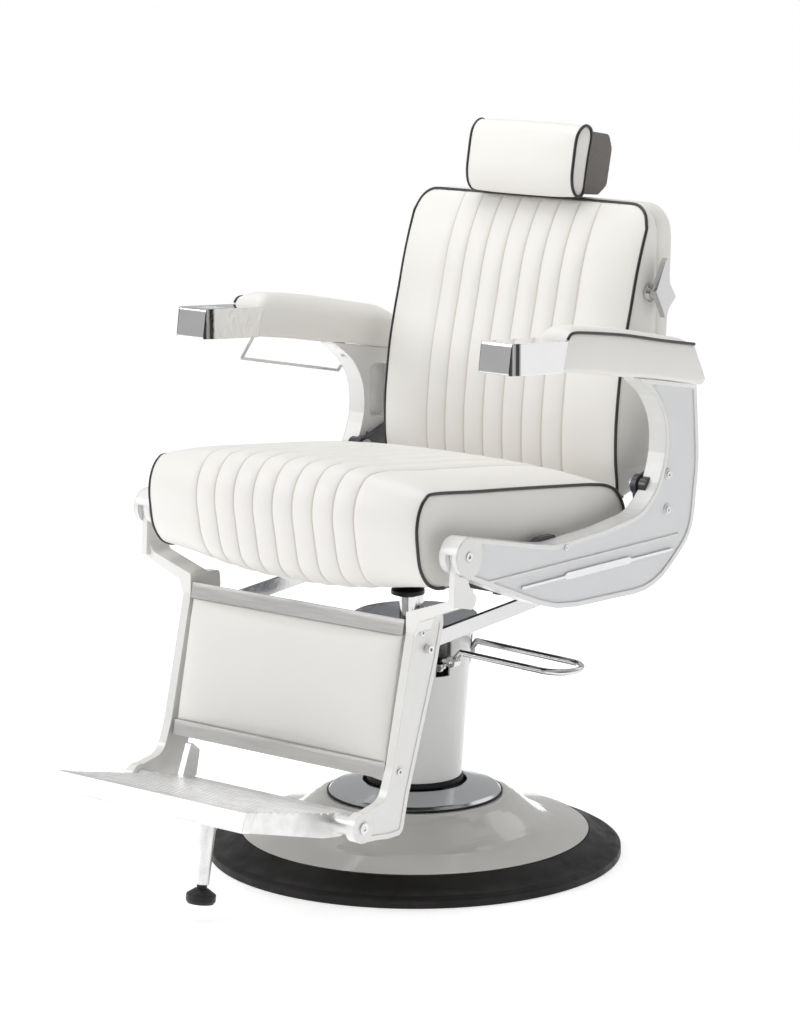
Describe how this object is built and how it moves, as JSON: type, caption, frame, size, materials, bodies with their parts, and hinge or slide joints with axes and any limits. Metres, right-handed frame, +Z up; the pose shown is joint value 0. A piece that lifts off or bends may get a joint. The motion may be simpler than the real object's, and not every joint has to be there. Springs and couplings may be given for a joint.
{
  "type": "hydraulic barber chair",
  "caption": "Hydraulic barber chair with a reclining back, tilting headrest, padded arms, swinging leg rest and fold-up foot rest on a round pedestal base.",
  "frame": {"origin": "on the floor, on the axis of the column", "axes": "+Z up along the column, -Y the way the sitter faces, +X the sitter's left"},
  "size_m": [0.682, 1.0067, 1.1618],
  "materials": {
    "iron": "rough cast, painted black",
    "ring_rubber": "matt moulded",
    "enamel": "gloss",
    "speckle": "fine textured satin",
    "dark_paint": "satin",
    "steel": "brushed",
    "bronze": "machined",
    "grey_iron": "machined",
    "chrome": "polished",
    "ply": "unfinished plywood",
    "hide": "smooth, black piping",
    "taupe": "moulded diamond texture",
    "cast_alloy": "brushed and polished cast"
  },
  "bodies": {
    "base": {"base_plate": "iron", "base_ring": "ring_rubber", "base_dish": "enamel", "collar_gasket": "ring_rubber", "dress_collar": "chrome", "column_tube": "steel", "tube_bush": "bronze", "base_bolts": "steel"},
    "lift": {"ram": "chrome", "ram_piston": "grey_iron", "thrust_washer": "bronze"},
    "seat": {"column_cover": "enamel", "cover_seal": "ring_rubber", "head_casting": "enamel", "head_disc": "dark_paint", "buffer_post": "chrome", "buffer_pad": "ring_rubber", "seat_frame": "dark_paint", "seat_pan": "ply", "seat_cushion": "hide", "left_arm_frame": "speckle", "right_arm_frame": "speckle", "left_emblem_bar": "chrome", "right_emblem_bar": "chrome", "left_arm_pad": "hide", "right_arm_pad": "hide", "left_arm_cap": "chrome", "right_arm_cap": "chrome", "arm_screws": "chrome", "leg_pivot_screws": "chrome", "back_pivot_pins": "steel"},
    "pump": {"pump_lever": "chrome"},
    "recline": {"recline_lever": "chrome"},
    "back": {"back_frame": "dark_paint", "back_cushion": "hide", "back_shell": "hide", "headrest_guide": "steel", "lock_boss": "chrome"},
    "lock": {"lock_lever": "chrome"},
    "post": {"headrest_bar": "chrome", "tilt_pin": "steel"},
    "head": {"headrest_block": "taupe", "headrest_cushion": "hide"},
    "legrest": {"left_leg_bar": "enamel", "right_leg_bar": "enamel", "leg_rails": "dark_paint", "leg_board": "ply", "leg_cushion": "hide", "top_strip": "steel", "bottom_strip": "steel", "leg_screws": "chrome", "link_screws": "chrome"},
    "link": {"left_link": "chrome", "right_link": "chrome"},
    "footrest": {"footrest_plate": "cast_alloy", "support_leg": "cast_alloy", "footrest_screws": "chrome"},
    "foot": {"leg_foot": "ring_rubber"}
  },
  "joints": [
    {"name": "lift", "type": "slide", "parent": "base", "child": "lift", "axis": [0, 0, 1], "range_m": [0, 0.18]},
    {"name": "swivel", "type": "hinge", "parent": "lift", "child": "seat", "pos_m": [0, 0, 0.45], "axis": [0, 0, 1], "continuous": true},
    {"name": "pump", "type": "hinge", "parent": "seat", "child": "pump", "pos_m": [0.072, 0.0105, 0.333], "axis": [0, 1, 0], "range_deg": [0, 20], "stiffness_Nm_per_rad": 6, "springref_deg": -14.32},
    {"name": "recline_lever", "type": "hinge", "parent": "seat", "child": "recline", "pos_m": [-0.3095, -0.032, 0.826], "axis": [1, 0, 0], "range_deg": [0, 3], "stiffness_Nm_per_rad": 1, "springref_deg": -11.46},
    {"name": "recline", "type": "hinge", "parent": "seat", "child": "back", "pos_m": [0, 0.21, 0.607], "axis": [-1, 0, 0], "range_deg": [0, 45]},
    {"name": "lock", "type": "hinge", "parent": "back", "child": "lock", "pos_m": [0.25, 0.297, 0.901], "axis": [1, 0, 0], "range_deg": [0, 60]},
    {"name": "headrest_height", "type": "slide", "parent": "back", "child": "post", "axis": [0, 0, 1], "range_m": [0, 0.08]},
    {"name": "headrest_tilt", "type": "hinge", "parent": "post", "child": "head", "pos_m": [0, 0.333, 1.088], "axis": [1, 0, 0], "range_deg": [-30, 0]},
    {"name": "legrest", "type": "hinge", "parent": "seat", "child": "legrest", "pos_m": [0, -0.275, 0.57], "axis": [-1, 0, 0], "range_deg": [0, 45]},
    {"name": "link", "type": "hinge", "parent": "legrest", "child": "link", "pos_m": [0, -0.26, 0.414], "axis": [-1, 0, 0], "range_deg": [-45, 0]},
    {"name": "footrest", "type": "hinge", "parent": "legrest", "child": "footrest", "pos_m": [0, -0.409, 0.165], "axis": [-1, 0, 0], "range_deg": [0, 75]},
    {"name": "foot_height", "type": "slide", "parent": "footrest", "child": "foot", "axis": [0, -0.149, -0.9888], "range_m": [0, 0.015]}
  ],
  "couplings": [
    {"joint": "legrest", "follows": "recline", "ratio": 1},
    {"joint": "link", "follows": "recline", "ratio": -1}
  ]
}
